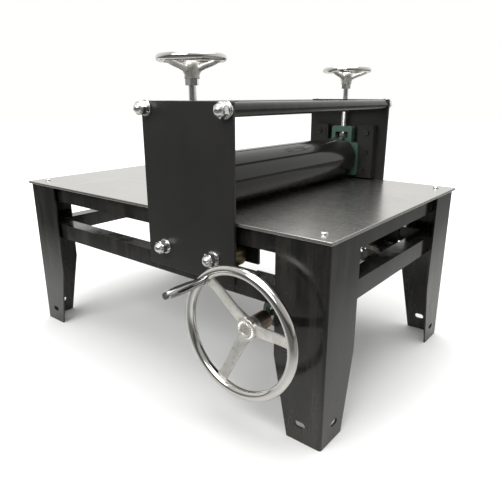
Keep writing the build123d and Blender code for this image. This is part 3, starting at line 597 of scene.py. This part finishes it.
for side in ("front", "back"):
    low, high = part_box(f"pressure_screw_{side}")
    where = axes(((low.x + high.x) / 2, (low.y + high.y) / 2, low.z), (1, 0, 0), (0, 1, 0))
    rod = threadedRod((high.x - low.x) / 2, high.z - low.z, screwThread)
    makePiece(f"threaded_screw_{side}", [(placed(rod, where), True, False, 0)], "zinc", f"screw_{side}",
              [f"pressure_screw_{side}"], 60)


# nuts and washers

nutShape = {"half": 0.012, "hexTall": 0.012, "tall": 0.021, "dome": 0.0105, "chamfer": 0.0011,
            "faceShare": 0.97, "neckShare": 1.02}
washerShape = {"outer": 0.015, "inner": 0.0080, "thick": 0.003, "edge": 0.0005}
springShape = {"outer": 0.0135, "inner": 0.0080, "thick": 0.0026, "lead": 0.0009, "gap": 5.0,
               "sectionPower": 0.35}


def hexRadius(half):
    # the lesser of the hexagon's own radius and the profile's, so that a cone chamfers the corners
    def radius(angle, r, z):
        flat = half / np.cos((angle + math.pi / 6) % (math.pi / 3) - math.pi / 6)
        return np.minimum(flat, r)
    return radius


def acornSurface(sizes):
    half, hexTall, dome = sizes["half"], sizes["hexTall"], sizes["dome"]
    corner = half / math.cos(math.pi / 6)
    cut = sizes["chamfer"]
    straight = sizes["tall"] - dome
    face = half * sizes["faceShare"]
    profile = [(0, 0), (face, 0), (corner, cut), (corner, hexTall - cut), (face, hexTall)]
    profile += [(dome * sizes["neckShare"], hexTall)]
    start = math.degrees(math.asin((hexTall - straight) / dome))
    profile += arc((0, straight), dome, start, 90, 9)
    profile[-1] = (0, sizes["tall"])
    return spun(profile, 72, hexRadius(half))


def washerSurface(sizes):
    outer, inner, thick, edge = sizes["outer"], sizes["inner"], sizes["thick"], sizes["edge"]
    profile = arc((outer - edge, edge), edge, -90, 0, 3) + arc((outer - edge, thick - edge), edge, 0, 90, 3)
    profile += [(inner, thick), (inner, 0)]
    return spun(profile, 56)


def springSurface(sizes):
    # an oblong section carried round one turn that climbs by the lead, open at the gap
    s = np.linspace(math.radians(sizes["gap"]), turn - math.radians(sizes["gap"]), 60)[:, None]
    t = np.linspace(0, turn, 16, endpoint=False)[None, :]
    x, z = roundedOblong(t, sizes["sectionPower"])
    ends = np.ones_like(s)
    ends[0] = ends[-1] = 0
    middleRadius = (sizes["outer"] + sizes["inner"]) / 2
    r = middleRadius + x * ends * (sizes["outer"] - sizes["inner"]) / 2
    height = sizes["thick"] / 2 + sizes["lead"] * s / turn + z * ends * sizes["thick"] / 2
    return np.stack([r * np.cos(s), r * np.sin(s), height], -1)


def tiePlaces():
    low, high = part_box("tie_tubes")
    radius = (high.z - low.z) / 2
    spots = [(low.x + radius, low.z + radius), (high.x - radius, low.z + radius)]
    low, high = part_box("track_axles")
    radius = (high.z - low.z) / 2
    return spots + [(low.x + radius, low.z + radius), (high.x - radius, low.z + radius)]


def tieFasteners():
    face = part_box("side_plate_back")[1].y
    nuts, flats, springs = [], [], []
    rng = np.random.default_rng(4)
    for sign in (-1, 1):
        for x, z in tiePlaces():
            angle = rng.uniform(0, turn)
            first = (math.cos(angle), 0, math.sin(angle))
            third = np.array([0, sign, 0])
            second = np.cross(third, first)
            base = washerShape["thick"]
            where = axes((x, sign * face, z), first, second)
            flats.append((placed(washerSurface(washerShape), where), True, True, 0))
            where = axes((x, sign * (face + base), z), first, second)
            springs.append((placed(springSurface(springShape), where), False, True, 0))
            base += springShape["thick"] + springShape["lead"]
            where = axes((x, sign * (face + base), z), first, second)
            nuts.append((placed(acornSurface(nutShape), where), True, False, 0))
    makePiece("domed_nuts", nuts, "zinc", "carriage", ["acorn_nuts"], 25)
    makePiece("round_washers", flats, "zinc", "carriage", ["flat_washers"], 40)
    makePiece("split_washers", springs, "zinc", "carriage", ["spring_washers"], 40)


tieFasteners()
print("screws, nuts and washers made")


# drive chain

chainShape = {
    "links": 120, "roller": 0.00425, "pin": 0.0021, "plateEnd": 0.0059, "plateWaist": 0.0042,
    "inner": 0.0044, "plate": 0.0015, "plateGap": 0.0001, "reach": 0.0085, "rollerSteps": 14, "pinSteps": 10,
}


def chainPlaces(centreX, half, z, radius, count):
    # pin places at even steps round a loop of two straights and two half circles
    loop = 4 * half + turn * radius
    s = (np.arange(count) + 0.5) / count * loop
    bendRight = (s - 2 * half) / radius
    bendLeft = (s - 4 * half - math.pi * radius) / radius
    top = s < 2 * half
    right = ~top & (s < 2 * half + math.pi * radius)
    low = ~top & ~right & (s < 4 * half + math.pi * radius)
    x = np.select([top, right, low], [
        centreX - half + s,
        centreX + half + radius * np.sin(bendRight),
        centreX + half - (s - 2 * half - math.pi * radius),
    ], centreX - half - radius * np.sin(bendLeft))
    height = np.select([top, right, low], [radius + 0 * s, radius * np.cos(bendRight), -radius + 0 * s],
                       -radius * np.cos(bendLeft))
    return np.stack([x, z + height], -1)


def upright(xz, y):
    # pairs (x, z) set at one value of y
    return np.stack([xz[..., 0], np.full(xz.shape[:2], y), xz[..., 1]], -1)


def plateShells(places, sizes, levels, phase):
    # every second gap between pins gets a waisted plate, extruded between two levels
    count = len(places)
    first = np.arange(phase, count, 2)
    a, b = places[first], places[(first + 1) % count]
    along = b - a
    length = np.linalg.norm(along, axis=1, keepdims=True)
    along = along / length
    across = np.stack([-along[:, 1], along[:, 0]], -1)
    bend = np.linspace(-math.pi / 2, math.pi / 2, 8)
    u = np.concatenate([sizes["plateEnd"] * np.cos(bend), [0.0], -sizes["plateEnd"] * np.cos(bend), [0.0]])
    v = np.concatenate([sizes["plateEnd"] * np.sin(bend), [sizes["plateWaist"]],
                        -sizes["plateEnd"] * np.sin(bend), [-sizes["plateWaist"]]])
    shift = np.concatenate([np.full(8, 1.0), [0.5], np.zeros(8), [0.5]])
    xz = (a[:, None] + along[:, None] * (u[None, :, None] + (shift * length)[:, :, None])
          + across[:, None] * v[None, :, None])
    centre = np.broadcast_to(((a + b) / 2)[:, None], xz.shape)
    rings = [centre, xz, xz, centre]
    heights = [levels[0], levels[0], levels[1], levels[1]]
    grid = [upright(ring, y) for ring, y in zip(rings, heights)]
    return [(link, True, False, 0) for link in np.stack(grid, 2)]


def pinShells(places, radius, low, high, steps):
    # short round bars across the chain, one at each pin
    angle = np.linspace(0, turn, steps, endpoint=False)
    ring = places[:, None] + radius * np.stack([np.cos(angle), np.sin(angle)], -1)[None]
    centre = np.broadcast_to(places[:, None], ring.shape)
    grid = [upright(r, y) for r, y in zip([centre, ring, ring, centre], [low, low, high, high])]
    return [(bar, True, False, 0) for bar in np.stack(grid, 2)]


def chainPiece():
    sizes = chainShape
    low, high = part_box("drive_chain")
    drive, idler = middle("drive_sprocket"), middle("idler_sprocket")
    y = (low.y + high.y) / 2
    radius = (high.z - low.z) / 2 - sizes["plateEnd"]
    half = (drive.x - idler.x) / 2
    places = chainPlaces((drive.x + idler.x) / 2, half, drive.z, radius, sizes["links"])
    inner, plate = sizes["inner"], sizes["plate"]
    shells = []
    for sign in (-1, 1):
        inside = sorted((y + sign * (inner - plate), y + sign * (inner - sizes["plateGap"])))
        outside = sorted((y + sign * inner, y + sign * (inner + plate)))
        shells += plateShells(places, sizes, inside, 0) + plateShells(places, sizes, outside, 1)
    shells += pinShells(places, sizes["roller"], y - inner + plate, y + inner - plate, sizes["rollerSteps"])
    shells += pinShells(places, sizes["pin"], y - sizes["reach"], y + sizes["reach"], sizes["pinSteps"])
    makePiece("roller_chain", shells, "chain", "frame", ["drive_chain"], 40)


chainPiece()
print("chain made")


# finishes on the carried-over parts

nodeFinish = {
    "gloss": ["leg_front_left", "leg_front_right", "leg_back_left", "leg_back_right", "leg_packing_plates",
              "upper_long_rails", "upper_end_rails", "lower_long_rails", "lower_end_rails", "tie_tubes"],
    "satin": ["inner_plates", "bearing_brackets", "idler_bracket", "chain_clamp", "screw_beams",
              "guide_bars"],
    "green": ["takeup_housings", "bearing_blocks"],
    "roller": ["upper_roller_end_discs"],
    "grip": ["crank_grip", "crank_grip_spindle"],
    "zinc": ["tie_rods", "bearing_bolts", "bed_screws", "screw_nuts_front", "screw_nuts_back"],
    "collar": ["hand_shaft_collar"],
    "blued": ["guide_screws", "drive_sprocket", "idler_sprocket"],
    "rolled": [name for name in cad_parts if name.startswith("track_roller_")],
}
for finish, names in nodeFinish.items():
    for name in names:
        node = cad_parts[name]
        node.data.materials.clear()
        node.data.materials.append(finishes[finish])
given = {name for names in nodeFinish.values() for name in names}
for name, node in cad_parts.items():
    if name not in given and not node.hide_render:
        node.data.materials.clear()
        node.data.materials.append(finishes["turned"])
print("carried-over parts finished")


# studio

floorPlan = {"half": 12.0, "below": 0.0005, "seen": 0.92, "lit": (0.74, 0.74, 0.725),
             "shaded": (0.11, 0.11, 0.105)}


def studioFloor():
    # in reflections the floor is darker at the front and right, a painted shade for dim surroundings; for the
    # camera it glows, fading to white far away
    mesh = bpy.data.meshes.new("studio_floor")
    size, level = floorPlan["half"], -floorPlan["below"]
    corners = [(x * size, y * size, level) for x, y in ((-1, -1), (1, -1), (1, 1), (-1, 1))]
    mesh.from_pydata(corners, [], [(0, 1, 2, 3)])
    floor = bpy.data.objects.new("studio_floor", mesh)
    bpy.context.scene.collection.objects.link(floor)
    paint = Paint("pale_floor")
    near = paint.ramp((paint.along("Y") * 0.5 + 0.5).clamped(), (0.08, 0.0), (0.30, 1.0))
    right = paint.ramp((paint.along("X") * 0.5).clamped(), (0.22, 0.0), (0.42, 1.0))
    # painted shade: the floor's colour as seen in reflections and bounce light, dark at the front and right
    dim = paint.mix(near * (1.0 - right * 0.78), floorPlan["shaded"], floorPlan["lit"])
    seen = paint.add("ShaderNodeLightPath", {}, {}, "Is Camera Ray")
    colour = paint.mix(seen, dim, (floorPlan["seen"],) * 3)
    reach = paint.add("ShaderNodeVectorMath", {"operation": "LENGTH"}, {0: paint.place}, "Value")
    far = paint.ramp((reach * 0.2).clamped(), (0.10, 0.0), (0.45, 1.0))
    # painted glow: for the camera the floor emits more light the farther it is
    glow = paint.mix(far * seen, (0.0, 0.0, 0.0), (0.6, 0.6, 0.59))
    mesh.materials.append(paint.finish(Base_Color=colour, Roughness=0.9, Specular_IOR_Level=0.0,
                                       Emission_Color=glow, Emission_Strength=1.0))


room = {"backdrop": (-0.62, 0.77, 0.15), "dim": 0.40, "bright": 1.05, "falloff": 1.2,
        "frontWay": (0.35, -0.94, 0.0), "frontShade": 0.80,
        "frontBand": ((0.0, 1.0), (0.22, 1.0), (0.34, 0.0))}


lamps = {
    "top_box": {"place": (0.1, 0.2, 3.0), "aim": (0.0, 0.1, 0.3), "size": (3.0, 2.4), "power": 70},
    "front_box": {"place": (0.3, -2.7, 2.3), "aim": (0.1, 0.0, 0.4), "size": (2.4, 1.4), "power": 62},
}


def softbox(name, place, aim, size, power):
    lamp = bpy.data.lights.new(name, "AREA")
    lamp.shape = "RECTANGLE"
    lamp.size, lamp.size_y = size
    lamp.energy = power
    holder = bpy.data.objects.new(name, lamp)
    holder.location = place
    holder.rotation_euler = (Vector(aim) - Vector(place)).to_track_quat("-Z", "Y").to_euler()
    bpy.context.scene.collection.objects.link(holder)


def studioLight():
    world = bpy.data.worlds.new("studio")
    bpy.context.scene.world = world
    world.use_nodes = True
    sky = NodeMaker(world.node_tree)
    way = sky.add("ShaderNodeTexCoord", {}, {}, "Generated")
    towards = sky.add("ShaderNodeVectorMath", {"operation": "DOT_PRODUCT"},
                      {0: way, 1: room["backdrop"]}, "Value")
    glow = (towards * 0.5 + 0.5).clamped() ** room["falloff"]
    seen = sky.add("ShaderNodeLightPath", {}, {}, "Is Camera Ray")
    height = sky.add("ShaderNodeSeparateXYZ", {}, {0: way}, 2)
    front = sky.add("ShaderNodeVectorMath", {"operation": "DOT_PRODUCT"},
                    {0: way, 1: room["frontWay"]}, "Value")
    band = sky.add("ShaderNodeValToRGB", {"stops": room["frontBand"]}, {"Fac": height})
    shade = 1.0 - (front * 1.6).clamped() * band * room["frontShade"]
    light = (room["dim"] + glow * (room["bright"] - room["dim"])) * shade
    back = world.node_tree.nodes["Background"]
    back.inputs["Color"].default_value = (1.0, 1.0, 0.985, 1.0)
    sky.plug(back.inputs["Strength"], light + seen * (1.0 - light))
    for name, lamp in lamps.items():
        softbox(name, **lamp)


shot = {"place": (0.8015, -0.9314, 0.6039), "down": 17.59, "left": 38.78, "lens": 35.08, "sensor": 36.0}


def frontCamera():
    data = bpy.data.cameras.new("camera")
    data.lens = shot["lens"]
    data.sensor_width = shot["sensor"]
    data.clip_start = 0.01
    holder = bpy.data.objects.new("camera", data)
    holder.location = shot["place"]
    holder.rotation_euler = (math.radians(90 - shot["down"]), 0.0, math.radians(shot["left"]))
    bpy.context.scene.collection.objects.link(holder)
    bpy.context.scene.camera = holder


studioFloor()
studioLight()
frontCamera()
bpy.context.scene.view_settings.view_transform = "Standard"
